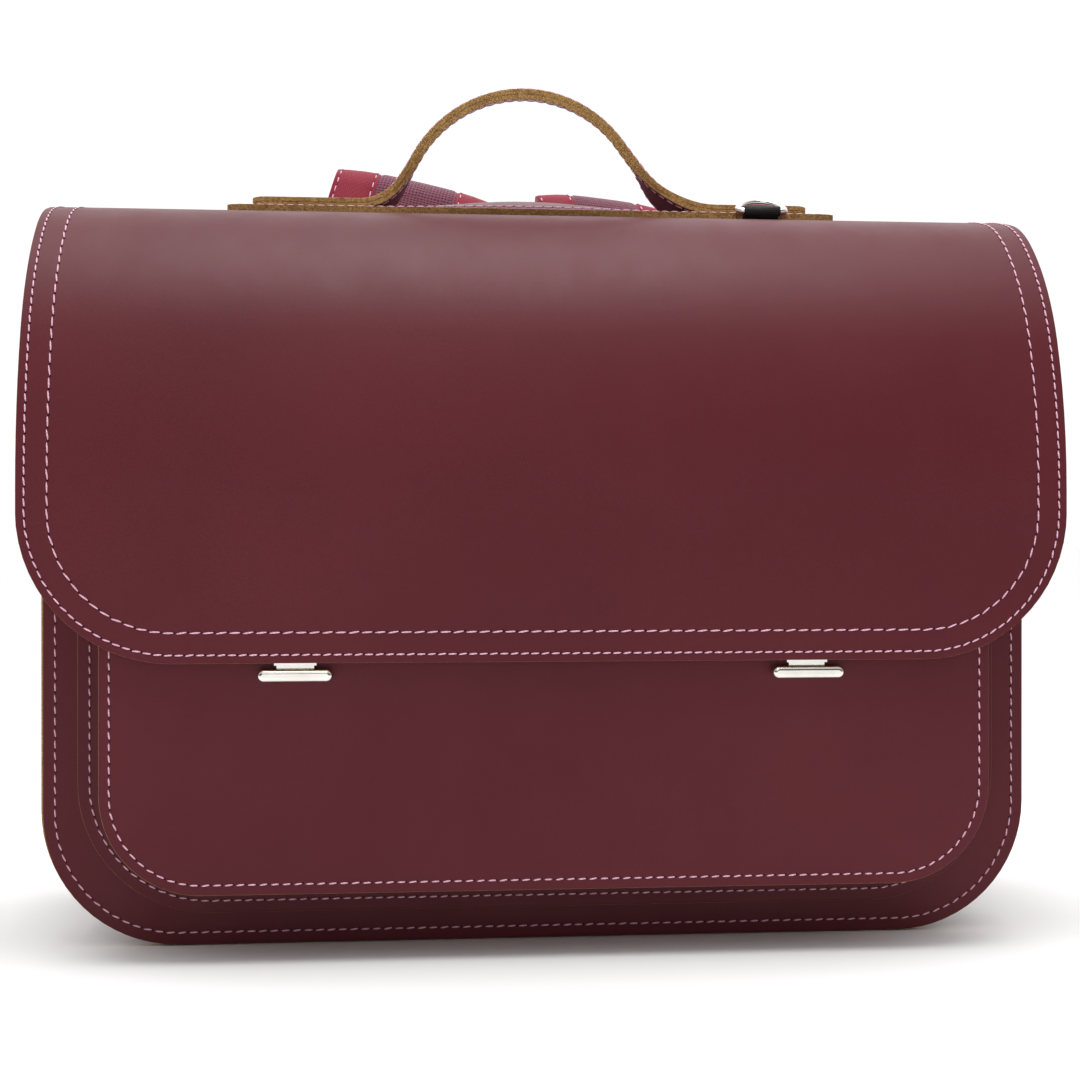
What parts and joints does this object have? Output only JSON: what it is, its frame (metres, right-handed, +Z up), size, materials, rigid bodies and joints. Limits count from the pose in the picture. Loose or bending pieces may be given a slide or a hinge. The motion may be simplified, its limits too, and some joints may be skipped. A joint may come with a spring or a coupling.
{
  "type": "satchel bag",
  "caption": "Stiff leather school satchel with front pocket, full-width flap, two spring catches, top handle and two padded shoulder straps.",
  "frame": {"origin": "on the floor, at the middle of the front seam between front panel and gusset", "axes": "+Z up, +X to the right as seen from the front, +Y from front to back; the flap and pocket face -Y"},
  "size_m": [0.4, 0.2268, 0.3575],
  "materials": {
    "leather": "smooth, semi-gloss, burgundy",
    "lining_leather": "smooth burgundy, tan flesh side",
    "strap_cloth": "knitted mesh and ribbed nylon",
    "webbing": "woven",
    "nickel": "polished",
    "steel": "plain",
    "buckle_plastic": "moulded"
  },
  "bodies": {
    "bag": {"back_panel": "leather", "flap_tail": "leather", "front_panel": "leather", "lock_back_plate_left": "steel", "lock_back_plate_right": "steel", "lock_case_left": "nickel", "lock_case_right": "nickel", "lock_rivets": "steel", "lock_springs_left": "steel", "lock_springs_right": "steel", "lower_tab_left": "leather", "lower_tab_right": "leather", "main_gusset": "lining_leather", "pocket_front": "leather", "pocket_gusset": "lining_leather", "shoulder_strap_left": "strap_cloth", "shoulder_strap_right": "strap_cloth", "strap_adjuster_left": "buckle_plastic", "strap_adjuster_right": "buckle_plastic", "strap_anchor_patch": "leather", "strap_tag_left": "webbing", "strap_tag_right": "webbing", "strap_webbing_left": "webbing", "strap_webbing_right": "webbing"},
    "flap": {"flap_leather": "leather", "flap_border_strip": "lining_leather", "lock_tongue_left": "nickel", "lock_tongue_right": "nickel", "tongue_rivets": "steel", "handle_plate": "leather", "handle_outer_layer": "leather", "handle_inner_layer": "leather", "ring_loop": "webbing"},
    "left_slide": {"lock_slide_left": "nickel"},
    "right_slide": {"lock_slide_right": "nickel"},
    "ring": {"d_ring": "nickel"}
  },
  "joints": [
    {"name": "flap_lift", "type": "hinge", "parent": "bag", "child": "flap", "pos_m": [0, 0.1172, 0.286], "axis": [-1, 0, 0], "range_deg": [0, 75]},
    {"name": "left_catch_pull", "type": "slide", "parent": "bag", "child": "left_slide", "axis": [0, 0, -1], "range_m": [0, 0.003], "stiffness_N_per_m": 600, "springref_m": -0.003, "deforming": ["lock_springs_left"]},
    {"name": "right_catch_pull", "type": "slide", "parent": "bag", "child": "right_slide", "axis": [0, 0, -1], "range_m": [0, 0.003], "stiffness_N_per_m": 600, "springref_m": -0.003, "deforming": ["lock_springs_right"]},
    {"name": "ring_swing", "type": "hinge", "parent": "flap", "child": "ring", "pos_m": [0.097, 0.03199, 0.30185], "axis": [1, 0, 0], "range_deg": [0, 100]}
  ]
}
